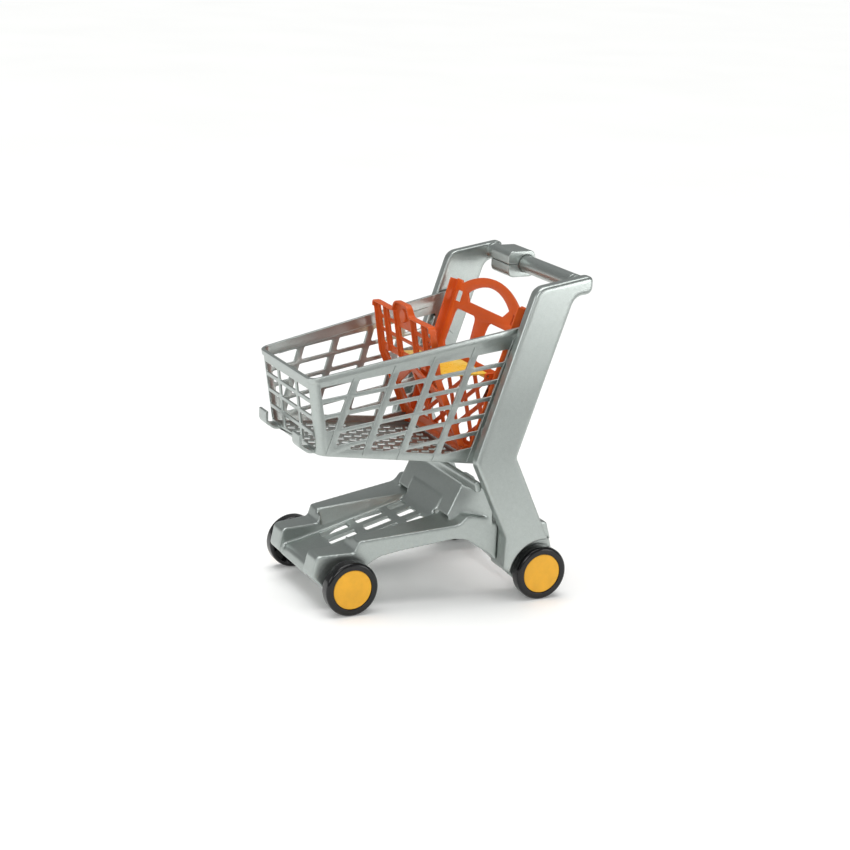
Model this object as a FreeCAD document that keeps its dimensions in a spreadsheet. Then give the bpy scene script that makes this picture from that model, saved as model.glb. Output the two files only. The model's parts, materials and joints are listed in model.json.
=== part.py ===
"""Toy shopping cart: a parametric document that writes one STEP file per piece.

Frame: +X is forward, towards the basket's nose, +Y is the cart's left, +Z is up.
The origin is on the floor, under the middle of the bounding box. Millimetres.
"""
import FreeCAD, Part
import math
import os

Vector = FreeCAD.Vector

# ------------------------------------------------------------------ driving dimensions
DIMENSIONS = {
    # running gear
    "wheel_radius": 44.7, "wheel_width": 23.0, "wheel_shoulder": 5.0,
    "front_wheel_x": 149.0, "rear_wheel_x": -176.0,
    "front_wheel_outer": 130.5, "rear_wheel_outer": 161.0,
    "axle_radius": 3.0, "axle_fit": 0.06, "wheel_fit": 0.08,
    "cap_radius": 32.5, "cap_thickness": 2.0, "cap_recess": 3.0, "hub_radius": 9.0,
    "web_depth": 7.5, "web_thickness": 4.0, "tread_thickness": 6.5,
    "tab_ring": 20.0, "tab_width": 7.0, "tab_depth": 3.0,
    "washer_radius": 7.5, "washer_thickness": 0.6, "push_nut_radius": 7.0, "push_nut_thickness": 1.5,
    # side frames
    "frame_outer": 161.0, "frame_thickness": 20.0, "frame_round": 5.0,
    "arm_slope": 0.335, "elbow_x": -43.0, "elbow_height": 243.0, "arm_depth": 72.0,
    "tip_x": -234.0, "tip_height": 538.0, "tip_depth": 32.0, "shoulder_x": -135.0, "shoulder_height": 521.5,
    "foot_front_x": -104.0, "foot_height": 60.0,
    "hub_inner": 112.0, "hub_outer": 137.0, "arch_radius": 57.0, "hub_plate_radius": 30.0,
    # handle
    "handle_x": -216.0, "handle_height": 521.0, "handle_radius": 14.5, "handle_wall": 2.5,
    "peg_length": 18.0, "sleeve_x": -207.0, "sleeve_y": -54.0, "sleeve_length": 60.0,
    "sleeve_depth": 50.0, "sleeve_height": 44.0, "sleeve_round": 12.0, "sleeve_gap": 0.2,
    # basket
    "rim_height": 432.0, "rim_slope": -0.197, "rim_half_width": 124.8, "rim_taper": -0.084,
    "floor_height": 238.5, "floor_slope": 0.12, "wall_draft": 0.055, "nose_x": 222.0, "nose_draft": 0.145,
    "basket_rear_x": -94.0, "bar_slope": -0.315, "basket_wall": 3.2, "rim_lip": 2.6, "rim_lip_height": 9.0,
    "nose_round": 16.0, "bar_pitch": 62.0, "first_bar_x": 174.0, "bar_width": 11.5, "bay_count": 5,
    "bar_datum": 320.0, "row_slope": -0.15, "first_row": 384.8, "row_pitch": 26.8, "row_opening": 20.0,
    "row_count": 6, "bottom_band": 14.0, "opening_round": 3.0, "hook_reach": 20.2, "hook_height": 32.0,
    "hook_inner": 56.0, "hook_outer": 85.0, "hook_thickness": 5.0,
    # tray
    "tray_outer": 119.0, "tray_taper": -0.148, "rail_inner": 52.0, "deck_thickness": 4.0,
    "deck_height": 117.9, "deck_slope": -0.287, "tray_wall": 3.2, "panel_half_width": 140.7,
    "panel_thickness": 5.0, "tongue_outer": 111.7,
    # child seat
    "gate_foot_x": -66.0, "gate_foot_height": 250.0, "gate_lean": 17.4, "gate_foot_half": 113.5, "gate_top_half": 118.5,
    "gate_thickness": 4.0, "flange_depth": 14.0, "flange_thickness": 3.0,
    "back_hinge_x": -53.0, "back_hinge_height": 251.0, "back_thickness": 4.0, "back_half_width": 106.0,
    "back_rim_depth": 7.0, "back_rib_depth": 6.0, "back_rib_thickness": 3.0, "back_boss_radius": 11.0,
    "back_barrel_radius": 8.0, "hinge_rod_radius": 2.0, "hinge_fit": 0.08,
    "plate_hinge_x": -93.0, "plate_hinge_height": 366.0, "plate_depth": 74.0, "plate_half_width": 84.0,
    "plate_thickness": 3.0, "plate_barrel_radius": 4.5,
    # fasteners
    "screw_radius": 1.8, "screw_head_radius": 3.6, "screw_head_height": 2.4,
}


def make_sheet(doc):
    """Write the driving dimensions to a spreadsheet, one aliased cell each."""
    sheet = doc.addObject("Spreadsheet::Sheet", "sizes")
    for row, (alias, value) in enumerate(DIMENSIONS.items(), start=1):
        sheet.set("A%d" % row, alias)
        sheet.set("B%d" % row, str(value))
        sheet.setAlias("B%d" % row, alias)
    doc.recompute()
    return sheet


document = FreeCAD.newDocument("shopping_cart")
sizes = make_sheet(document)


def size(alias):
    """The number in the sheet's cell of that alias."""
    return float(sizes.get(alias))


def rounded(points):
    """Edges of a closed outline: points are (x, y, corner radius)."""
    count = len(points)
    corners = []
    for i, (x, y, radius) in enumerate(points):
        here = Vector(x, y, 0)
        back = Vector(*points[i - 1][:2], 0) - here
        ahead = Vector(*points[(i + 1) % count][:2], 0) - here
        if radius <= 0:
            corners.append((here, None, here))
            continue
        half = back.getAngle(ahead) / 2
        reach = min(radius / math.tan(half), 0.48 * back.Length, 0.48 * ahead.Length)
        back.normalize()
        ahead.normalize()
        bulge = reach * math.tan(half)
        middle = (back + ahead).normalize() * (reach / math.cos(half) - bulge)
        corners.append((here + back * reach, here + middle, here + ahead * reach))
    edges = []
    for i, (start, middle, end) in enumerate(corners):
        if middle is not None:
            edges.append(Part.Arc(start, middle, end))
        edges.append(Part.LineSegment(end, corners[(i + 1) % count][0]))
    return edges


def circle(x, y, radius):
    """One round loop."""
    return [Part.Circle(Vector(x, y, 0), Vector(0, 0, 1), radius)]


def clip(polygon, a, b, c):
    """The part of a convex polygon where a*x + b*y <= c."""
    kept = []
    for i, (x1, y1) in enumerate(polygon):
        x0, y0 = polygon[i - 1]
        d0 = a * x0 + b * y0 - c
        d1 = a * x1 + b * y1 - c
        if d0 * d1 < 0:
            f = d0 / (d0 - d1)
            kept.append((x0 + f * (x1 - x0), y0 + f * (y1 - y0)))
        if d1 <= 0:
            kept.append((x1, y1))
    return kept


def area(polygon):
    """Unsigned area of a polygon."""
    total = 0.0
    for i, (x1, y1) in enumerate(polygon):
        x0, y0 = polygon[i - 1]
        total += x0 * y1 - x1 * y0
    return abs(total) / 2


def window(polygon, radius):
    """Rounded opening from a convex polygon."""
    return rounded([(x, y, radius) for x, y in polygon])


# ------------------------------------------------------------------ PartDesign helpers
def new_body(label):
    """An empty body whose label is its node's name."""
    body = document.addObject("PartDesign::Body", label)
    body.Label = label
    return body


def add_sketch(body, name, role, loops, offset=(0, 0, 0), tilt=None):
    """A sketch on one of the body's origin planes, moved by offset in the plane's own axes."""
    plane = [f for f in body.Origin.OriginFeatures if f.Role == role][0]
    sketch = body.newObject("Sketcher::SketchObject", body.Label + "_" + name)
    sketch.AttachmentSupport = [(plane, "")]
    sketch.MapMode = "FlatFace"
    rotation = tilt if tilt is not None else FreeCAD.Rotation()
    sketch.AttachmentOffset = FreeCAD.Placement(Vector(*offset), rotation)
    for loop in loops:
        sketch.addGeometry(loop, False)
    return sketch


def add_feature(body, kind, name, sketch, **settings):
    """A sketch-based feature; settings that are text are bound to the sheet as expressions."""
    feature = body.newObject("PartDesign::" + kind, body.Label + "_" + name)
    feature.Profile = sketch
    for key, value in settings.items():
        if isinstance(value, str) and key in ("Length", "Angle"):
            feature.setExpression(key, value)
        else:
            setattr(feature, key, value)
    sketch.Visibility = False
    document.recompute()
    return feature


def add_pad(body, name, sketch, length, **settings):
    """Pad whose length is an expression on the sheet."""
    return add_feature(body, "Pad", name, sketch, Length=length, **settings)


def add_cut(body, name, sketch, length, **settings):
    """Pocket whose length is an expression, checked to remove material."""
    before = body.Shape.Volume
    feature = add_feature(body, "Pocket", name, sketch, Length=length, **settings)
    if body.Shape.Volume > before - 1e-3:
        raise RuntimeError("pocket cuts nothing: " + feature.Name)
    return feature


def bind_offset(sketch, expression):
    """Bind the sketch plane's own offset to the sheet."""
    sketch.setExpression("AttachmentOffset.Base.z", expression)


def add_fillet(body, name, radius, chosen):
    """Round the tip's edges that the chosen test accepts."""
    base = body.Tip
    names = []
    for i, edge in enumerate(base.Shape.Edges, start=1):
        if chosen(edge):
            names.append("Edge%d" % i)
    fillet = body.newObject("PartDesign::Fillet", body.Label + "_" + name)
    fillet.Base = (base, names)
    fillet.setExpression("Radius", radius)
    document.recompute()
    return fillet


def slab(body, name, loops, side, start, length):
    """Pad an XZ outline outward from |y| = start on one side; start and length are expressions."""
    sketch = add_sketch(body, name + "_sketch", "XZ_Plane", loops)
    bind_offset(sketch, "%d * (%s)" % (-side, start))
    return add_pad(body, name, sketch, length, Reversed=side > 0)


def slab_cut(body, name, loops, side, start, length):
    """Pocket an XZ outline outward from |y| = start on one side."""
    sketch = add_sketch(body, name + "_sketch", "XZ_Plane", loops)
    bind_offset(sketch, "%d * (%s)" % (-side, start))
    return add_cut(body, name, sketch, length, Reversed=side < 0)


def across_pad(body, name, loops, half_width):
    """Pad an XZ outline evenly to both sides of the middle plane."""
    sketch = add_sketch(body, name + "_sketch", "XZ_Plane", loops)
    return add_pad(body, name, sketch, "2 * (%s)" % half_width, Midplane=True)


def through_cut(body, name, loops, role="XZ_Plane"):
    """Pocket an outline right through the body, both ways from its origin plane."""
    before = body.Shape.Volume
    sketch = add_sketch(body, name + "_sketch", role, loops)
    feature = add_feature(body, "Pocket", name, sketch, Type="ThroughAll", Midplane=True)
    if body.Shape.Volume > before - 1e-3:
        raise RuntimeError("pocket cuts nothing: " + feature.Name)
    return feature


SIDES = {1: "left", -1: "right"}
BASKET_SCREWS = ((-110.0, 400.0, 128.5), (-77.0, 285.0, 120.5))
TRAY_SCREWS = ((-132.0, 92.0), (-192.0, 88.0))
SLEEVE_SCREWS = ((-191.0, -75.0), (-191.0, -33.0))


# ------------------------------------------------------------------ side frames
def arm_front(height):
    """X of the upper arm's front edge at a height."""
    return size("elbow_x") - size("arm_slope") * (height - size("elbow_height"))


def frame_outline():
    """Boomerang profile of a side frame: tip, shoulder, elbow and foot."""
    tip_x = size("tip_x")
    tip_top = size("tip_height")
    tip_under = tip_top - size("tip_depth")
    arm_rear = arm_front(tip_under) - size("arm_depth")
    elbow_z = size("elbow_height") + 5
    foot_x = size("foot_front_x")
    foot_z = size("foot_height")
    return rounded([
        (tip_x, tip_top, 8), (size("shoulder_x"), size("shoulder_height"), 22),
        (size("elbow_x"), size("elbow_height"), 24), (foot_x - 2, foot_z + 52, 20),
        (foot_x, foot_z, 8), (foot_x - 20, foot_z - 14, 6), (foot_x - 96, foot_z - 14, 6),
        (foot_x - 84, 96, 0), (arm_front(elbow_z) - size("arm_depth"), elbow_z, 8),
        (arm_rear, tip_under, 26), (tip_x, tip_under + 1, 12)])


def hub_outline():
    """Inner plate of the foot, round the rear axle."""
    axle_x = size("rear_wheel_x")
    axle_z = size("wheel_radius")
    reach = size("hub_plate_radius")
    foot_x = size("foot_front_x")
    return rounded([
        (foot_x, 128, 4), (foot_x, 60, 8), (foot_x - 20, axle_z, 10), (axle_x + 22, axle_z - reach + 4, 14),
        (axle_x - reach, axle_z - reach + 6, 22), (axle_x - reach, axle_z + reach, 20),
        (axle_x - 14, 128, 8)])


def make_side_frame(side):
    """One moulded side frame with its foot, wheel arch, handle peg and screw holes."""
    body = new_body("side_frame_" + SIDES[side])
    slab(body, "slab", [frame_outline()], side, "sizes.frame_outer - sizes.frame_thickness",
         "sizes.frame_thickness")
    inner = "sizes.hub_inner"
    slab(body, "hub", [hub_outline()], side, inner,
         "sizes.frame_outer - sizes.frame_thickness - sizes.hub_inner")
    axle = (size("rear_wheel_x"), size("wheel_radius"))
    arch = circle(axle[0] + 2, axle[1] + 1, size("arch_radius"))
    slab_cut(body, "arch", [arch], side, "sizes.hub_outer", "sizes.frame_outer - sizes.hub_outer + 1")
    slab_cut(body, "axle_hole", [circle(*axle, size("axle_radius") + size("axle_fit"))], side,
             inner, "sizes.hub_outer - sizes.hub_inner")
    peg_radius = size("handle_radius") - size("handle_wall") - 0.1
    slab(body, "peg", [circle(size("handle_x"), size("handle_height"), peg_radius)], side,
         "sizes.frame_outer - sizes.frame_thickness - sizes.peg_length", "sizes.peg_length")
    pilot = size("screw_radius") + 0.05
    slab_cut(body, "tray_pilots", [circle(x, z, pilot) for x, z in TRAY_SCREWS], side, inner, "15")
    slab_cut(body, "basket_pilots", [circle(x, z, pilot) for x, z, _ in BASKET_SCREWS], side,
             "sizes.frame_outer - sizes.frame_thickness", "13")
    face = side * size("frame_outer")
    add_fillet(body, "edge_round", "sizes.frame_round",
               lambda edge: all(abs(v.Y - face) < 1e-4 for v in edge.Vertexes))
    return body


# ------------------------------------------------------------------ handle
def make_handle_bar():
    """Round tube that slides over the two frames' pegs."""
    body = new_body("handle_bar")
    centre = (size("handle_x"), size("handle_height"))
    ring = [circle(*centre, size("handle_radius")),
            circle(*centre, size("handle_radius") - size("handle_wall"))]
    across_pad(body, "tube", ring, "sizes.frame_outer - sizes.frame_thickness - 0.1")
    return body


def make_sleeve(name, way):
    """One half of the block clamped round the bar: way is +1 for the upper half."""
    body = new_body(name)
    middle_x = size("sleeve_x")
    middle_z = size("handle_height")
    half_x = size("sleeve_depth") / 2
    half_z = size("sleeve_height") / 2
    gap = way * size("sleeve_gap") / 2
    corner = size("sleeve_round")
    outline = rounded([(middle_x - half_x, middle_z + gap, 0), (middle_x + half_x, middle_z + gap, 0),
                       (middle_x + half_x, middle_z + way * half_z, corner),
                       (middle_x - half_x, middle_z + way * half_z, corner)])
    sketch = add_sketch(body, "outline", "XZ_Plane", [outline])
    bind_offset(sketch, "-(sizes.sleeve_y + sizes.sleeve_length / 2)")
    add_pad(body, "block", sketch, "sizes.sleeve_length")
    through_cut(body, "bar_seat", [circle(size("handle_x"), middle_z, size("handle_radius") + 0.1)])
    screw = size("screw_radius") + 0.1
    sketch = add_sketch(body, "screw_holes", "XY_Plane", [circle(x, y, screw) for x, y in SLEEVE_SCREWS])
    bind_offset(sketch, "sizes.handle_height - sizes.sleeve_height / 2")
    add_cut(body, "screws", sketch, "sizes.sleeve_height - 8", Reversed=True)
    if way < 0:
        head = size("screw_head_radius") + 0.3
        sketch = add_sketch(body, "head_seats", "XY_Plane", [circle(x, y, head) for x, y in SLEEVE_SCREWS])
        bind_offset(sketch, "sizes.handle_height - sizes.sleeve_height / 2")
        add_cut(body, "heads", sketch, "sizes.screw_head_height + 1", Reversed=True)
    return body


# ------------------------------------------------------------------ basket
def floor_z(x):
    """Height of the basket floor's underside."""
    return size("floor_height") + size("floor_slope") * x


def rim_z(x):
    """Height of the basket's rim."""
    return size("rim_height") + size("rim_slope") * x


def wall_y(x, z):
    """Half width of the basket's outer side wall."""
    draft = size("wall_draft")
    taper = size("rim_taper") - draft * size("rim_slope")
    return size("rim_half_width") - draft * size("rim_height") + taper * x + draft * z


def nose_at(z):
    """X of the outer nose wall at a height."""
    return size("nose_x") - size("nose_draft") * (rim_z(size("nose_x")) - z)


def rear_at(z):
    """X of the basket's open rear edge at a height."""
    return size("basket_rear_x") - 6 + size("bar_slope") * (z - size("bar_datum"))


def meet(edge, surface, start):
    """X where edge(z) and the sloping surface z(x) cross."""
    x = start
    for _ in range(40):
        x = edge(surface(x))
    return x


def basket_ring(surface, inset, rear_reach):
    """Plan outline of the basket on a sloping plane, as (x, y, radius) in model axes."""
    front = meet(nose_at, surface, 200) - inset
    rear = meet(rear_at, surface, -100) - rear_reach
    half_front = wall_y(front, surface(front)) - inset
    half_rear = wall_y(rear, surface(rear)) - inset
    corner = size("nose_round") - inset
    return [(rear, -half_rear, 0), (front, -half_front, corner), (front, half_front, corner),
            (rear, half_rear, 0)]


def sloped_sketch(body, name, ring, slope, height, rise=0.0):
    """Sketch on a plane z = height + slope * x, lifted by rise along its normal."""
    angle = math.atan(slope)
    points = [(x / math.cos(angle), y, radius) for x, y, radius in ring]
    tilt = FreeCAD.Rotation(Vector(0, 1, 0), -math.degrees(angle))
    offset = tilt.multVec(Vector(0, 0, rise)) + Vector(0, 0, height)
    return add_sketch(body, name, "XY_Plane", [rounded(points)], offset=tuple(offset), tilt=tilt)


def loft(body, kind, name, lower, upper):
    """Ruled loft between two sketches."""
    feature = body.newObject("PartDesign::" + kind, body.Label + "_" + name)
    feature.Profile = lower
    feature.Sections = [upper]
    feature.Ruled = True
    document.recompute()
    return feature


def bar_x(number, z):
    """X of a slanted side bar's front edge."""
    start = size("first_bar_x") - size("bar_pitch") * number
    return start + size("bar_slope") * (z - size("bar_datum"))


def side_windows():
    """Rounded parallelogram openings of the side walls, bay by bay and row by row."""
    loops = []
    slope = size("bar_slope")
    row_slope = size("row_slope")
    for bay in range(int(size("bay_count"))):
        for row in range(int(size("row_count"))):
            low = size("first_row") - size("row_pitch") * row
            cell = [(-300, 0), (300, 0), (300, 600), (-300, 600)]
            cell = clip(cell, row_slope, -1, -low)
            cell = clip(cell, -row_slope, 1, low + size("row_opening"))
            datum = size("bar_datum")
            cell = clip(cell, -1, slope, slope * datum - bar_x(bay, datum))
            if bay == 0:
                cell = clip(cell, 1, -0.2, 205.2 - 0.2 * 369.5)
            else:
                ahead = bar_x(bay - 1, datum) - size("bar_width")
                cell = clip(cell, 1, -slope, ahead - slope * datum)
            band = size("floor_height") + size("bottom_band")
            cell = clip(cell, size("floor_slope"), -1, -band)
            if len(cell) > 2 and area(cell) > 120:
                loops.append(window(cell, size("opening_round")))
    return loops


def nose_windows():
    """Openings of the nose wall: three columns."""
    loops = []
    x = size("nose_x") - 7
    for low_y, high_y in ((-91, -40.5), (-33.5, 33.5), (40.5, 91)):
        for row in range(4):
            low = size("first_row") + size("row_slope") * x - size("row_pitch") * row
            high = min(low + size("row_opening"), rim_z(x) - 21)
            loops.append(window([(low_y, low), (high_y, low), (high_y, high), (low_y, high)],
                                size("opening_round")))
    return loops


def floor_windows():
    """Skewed lattice openings of the floor."""
    loops = []
    for i in range(12):
        for j in range(-5, 6):
            x = -42 + 20.5 * i
            y = 21.0 * j + 5.0 * (i % 2)
            cell = [(x - 9, y - 6.5), (x + 4, y - 6.5), (x + 9, y + 6.5), (x - 4, y + 6.5)]
            room = wall_y(x, floor_z(x)) - 15
            if abs(y) < room - 6 and x < 192:
                loops.append(window(cell, 1.5))
    return loops


def make_basket():
    """Tapered lattice basket, open at the top and rear, with two nose hooks and four bosses."""
    body = new_body("basket")
    floor_slope = size("floor_slope")
    rim_slope = size("rim_slope")
    wall = size("basket_wall")
    lip = size("rim_lip")
    low = sloped_sketch(body, "floor_ring", basket_ring(floor_z, 0, 0), floor_slope, size("floor_height"))
    high = sloped_sketch(body, "rim_ring", basket_ring(rim_z, 0, 0), rim_slope, size("rim_height"))
    loft(body, "AdditiveLoft", "shell", low, high)
    drop = size("rim_lip_height")
    lip_ring = basket_ring(rim_z, -lip, -lip)
    low = sloped_sketch(body, "lip_low", lip_ring, rim_slope, size("rim_height"), -drop)
    high = sloped_sketch(body, "lip_high", lip_ring, rim_slope, size("rim_height"))
    loft(body, "AdditiveLoft", "lip", low, high)
    low = sloped_sketch(body, "inner_floor", basket_ring(floor_z, wall, 12), floor_slope,
                        size("floor_height"), wall)
    high = sloped_sketch(body, "inner_rim", basket_ring(rim_z, wall, 12), rim_slope,
                         size("rim_height"), 1.0)
    loft(body, "SubtractiveLoft", "inside", low, high)
    through_cut(body, "side_windows", side_windows())
    sketch = add_sketch(body, "nose_sketch", "YZ_Plane", nose_windows(), offset=(0, 0, 150))
    add_cut(body, "nose_windows", sketch, "120", Reversed=True)
    sketch = add_sketch(body, "floor_sketch", "XY_Plane", floor_windows(), offset=(0, 0, 200))
    add_cut(body, "floor_windows", sketch, "85", Reversed=True)
    nose = nose_at(floor_z(200))
    tip = nose + size("hook_reach") + 6
    thick = size("hook_thickness")
    base = floor_z(200)
    hook = rounded([(nose - 8, base + 0.2, 0), (nose + 10, base + 1, 16), (tip, base + 12, 12),
                    (tip, base + size("hook_height"), 1.5), (tip - thick, base + size("hook_height"), 1.5),
                    (tip - thick, base + 14, 8), (nose + 8, base + 6.5, 10), (nose - 2, base + 6, 0),
                    (nose - 8, base + 3, 0)])
    for side in SIDES:
        slab(body, "hook_" + SIDES[side], [hook], side, "sizes.hook_inner",
             "sizes.hook_outer - sizes.hook_inner")
    for side in SIDES:
        for level, (x, z, start) in enumerate(BASKET_SCREWS):
            name = "boss_%s_%d" % (SIDES[side], level)
            slab(body, name, [circle(x, z, 8)], side, str(start),
                 "sizes.frame_outer - sizes.frame_thickness - 0.1 - %s" % start)
    through_cut(body, "screw_holes", [circle(x, z, size("screw_radius") + 0.1) for x, z, _ in BASKET_SCREWS])
    return body


# ------------------------------------------------------------------ lower tray
def deck_z(x):
    """Height of the deck's top."""
    return size("deck_height") + size("deck_slope") * x


def rail_outline():
    """Side profile of a rail with its front leg and the tongue that carries the rear axle."""
    axle_x = size("rear_wheel_x")
    return rounded([
        (196, 92, 9), (134, 95, 2), (127, 113.5, 3), (-38, 132, 20), (-50, 146, 10), (-80, 143, 15),
        (-104, 133, 4), (-150, 118, 10), (axle_x - 24, 98, 10), (axle_x - 34, 60, 15),
        (axle_x - 24, 26, 14), (-150, 28, 10), (-122, 50, 15), (-92, 78, 20), (-52, 105, 25),
        (-30, 107, 20), (57, 93, 20), (92, 85, 20), (112, 72, 15), (122, 45, 10), (140, 30, 10),
        (178, 32, 10), (204, 57, 8)])


def deck_outline():
    """Section of the apron, the deck and the foot of the rear panel."""
    thick = size("deck_thickness")
    return rounded([
        (198, 48, 1), (193, 66, 10), (165, deck_z(165) + 1, 12), (-22, deck_z(-22), 14), (-40, 158, 0),
        (-45, 156, 0), (-28, deck_z(-22) - thick, 14), (164, deck_z(165) - thick, 8), (188, 61, 8),
        (193, 48, 1)])


def panel_outline():
    """Section of the rear wall's flat middle."""
    thick = size("panel_thickness")
    return rounded([(-31, 136, 0), (-58, 194, 0), (-58 - thick, 194, 0), (-31 - thick, 136, 0)])


def ridge_outline():
    """Section of the thick bar along the rear wall's top."""
    return rounded([(-56, 189, 2), (-53, 205, 4), (-60, 210, 4), (-68, 198, 4), (-64, 189, 2)])


def add_wing(body, side):
    """Swept-back end of the rear wall, twisting from the rail up to the ridge."""
    low = [(-31, 94), (-92, 134), (-97, 131), (-37, 90)]
    high = [(-61, 94), (-89, 140.7), (-94, 140.7), (-67, 90)]
    sketches = []
    for level, points in ((130, low), (197, high)):
        ring_points = [(x, side * y, 0) for x, y in points]
        sketches.append(add_sketch(body, "wing_%s_%d" % (SIDES[side], level), "XY_Plane",
                                   [rounded(ring_points)], offset=(0, 0, level)))
    loft(body, "AdditiveLoft", "wing_" + SIDES[side], *sketches)


def slope_rail(body, side):
    """Cut the rail's inner top edge back to a long slope down to the deck."""
    ring_front = [(50, 118), (74, 118), (74, 115), (50, 86)]
    ring_rear = [(50, 136), (60, 136), (60, 133), (50, 129)]
    sketches = []
    for x, points in ((128, ring_front), (-36, ring_rear)):
        loop = rounded([(side * y, z, 0) for y, z in points])
        sketches.append(add_sketch(body, "slope_%s_%d" % (SIDES[side], x + 50), "YZ_Plane", [loop],
                                   offset=(0, 0, x)))
    loft(body, "SubtractiveLoft", "slope_" + SIDES[side], *sketches)


def deck_slots():
    """Three rows of three slots; the columns spread slightly towards the rear."""
    loops = []
    for front, rear in ((134.7, 86.6), (72.5, 25.8), (11.9, -16.5)):
        for column in (-1, 0, 1):
            half_front = 8.4 + (134.7 - front) * 0.014
            half_rear = 8.4 + (134.7 - rear) * 0.014
            y_front = column * (34.5 + (134.7 - front) * 0.016)
            y_rear = column * (34.5 + (134.7 - rear) * 0.016)
            loops.append(window([(front, y_front - half_front), (front, y_front + half_front),
                                 (rear, y_rear + half_rear), (rear, y_rear - half_rear)], 2.0))
    return loops


def cut_tray_cavities(body):
    """Hollow the rails and front legs from below, leaving walls and a roof."""
    wall = size("tray_wall")
    inner = size("rail_inner") + 18
    for number, (front, rear, roof) in enumerate(((190, 126, 87), (118, 56, 105), (52, -12, 113),
                                                  (-16, -68, 120))):
        loops = []
        for side in SIDES:
            outer = [size("tray_outer") + size("tray_taper") * x - wall for x in (front, rear)]
            loops.append(window([(front, side * inner), (front, side * outer[0]), (rear, side * outer[1]),
                                 (rear, side * inner)], 3))
        sketch = add_sketch(body, "cavity_%d" % number, "XY_Plane", loops)
        add_cut(body, "hollow_%d" % number, sketch, str(roof), Reversed=True)


def make_lower_tray():
    """Tray with two diverging rails, front legs, slotted deck and raised rear panel."""
    body = new_body("lower_tray")
    for side in SIDES:
        slab(body, "rail_" + SIDES[side], [rail_outline()], side, "sizes.rail_inner",
             "sizes.frame_outer - sizes.frame_thickness - sizes.rail_inner")
    across_pad(body, "bridge", [deck_outline()], "sizes.rail_inner + 2")
    taper = size("tray_taper")
    outer = size("tray_outer")
    end = size("foot_front_x") + 0.3
    tongue = size("tongue_outer")
    loops = []
    for side in SIDES:
        ring = [(230, side * (outer + taper * 230)), (end, side * (outer + taper * end)),
                (end, side * tongue), (-230, side * tongue), (-230, side * 160), (230, side * 160)]
        loops.append(window(ring, 0))
        inner = [(-72, side * 20), (-72, side * 92), (-230, side * 92), (-230, side * 20)]
        loops.append(window(inner, 0))
    through_cut(body, "plan_taper", loops, role="XY_Plane")
    cut_tray_cavities(body)
    for side in SIDES:
        slope_rail(body, side)
    across_pad(body, "rear_panel", [panel_outline()], "93")
    across_pad(body, "ridge", [ridge_outline()], "sizes.panel_half_width")
    for side in SIDES:
        add_wing(body, side)
    through_cut(body, "slots", deck_slots(), role="XY_Plane")
    axles = [(size("front_wheel_x"), size("wheel_radius")), (size("rear_wheel_x"), size("wheel_radius"))]
    for side in SIDES:
        slab(body, "axle_boss_" + SIDES[side], [circle(*axles[0], 10)], side, "sizes.rail_inner",
             "sizes.front_wheel_outer - sizes.wheel_width - sizes.washer_thickness - 0.1 - sizes.rail_inner")
    hole = size("axle_radius") + size("axle_fit")
    through_cut(body, "axle_holes", [circle(*axle, hole) for axle in axles])
    through_cut(body, "screw_holes", [circle(x, z, size("screw_radius") + 0.1) for x, z in TRAY_SCREWS])
    return body


# ------------------------------------------------------------------ child seat
def gate_point(v, forward=0.0):
    """Model x and z of a point v up the gate and forward of its front face."""
    lean = math.radians(size("gate_lean"))
    return (size("gate_foot_x") - v * math.sin(lean) + forward * math.cos(lean),
            size("gate_foot_height") + v * math.cos(lean) + forward * math.sin(lean))


def gate_sketch(body, name, loops, forward="0"):
    """Sketch on the gate's leaning front face."""
    sketch = add_sketch(body, name, "YZ_Plane", loops,
                        tilt=FreeCAD.Rotation(Vector(1, 0, 0), -size("gate_lean")))
    sketch.setExpression("AttachmentOffset.Base.y", "sizes.gate_foot_height + (%s) * sin(sizes.gate_lean)"
                         % forward)
    sketch.setExpression("AttachmentOffset.Base.z", "sizes.gate_foot_x + (%s) * cos(sizes.gate_lean)"
                         % forward)
    return sketch


def diamond_cells(low, high, half, pitch, bar, angle):
    """Cells of a diagonal lattice clipped to a rectangle, each a convex polygon."""
    cells = []
    run = math.radians(angle)
    for i in range(-12, 13):
        for j in range(-12, 13):
            cell = [(-400, -400), (400, -400), (400, 400), (-400, 400)]
            for way, index in ((1, i), (-1, j)):
                a, b = math.sin(run), -way * math.cos(run)
                near = index * pitch + bar / 2
                cell = clip(cell, a, b, near + pitch - bar)
                cell = clip(cell, -a, -b, -near)
            for a, b, c in ((1, 0, half), (-1, 0, half), (0, 1, high), (0, -1, -low)):
                cell = clip(cell, a, b, c)
            if len(cell) > 2 and area(cell) > 60:
                cells.append(cell)
    return cells


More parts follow.
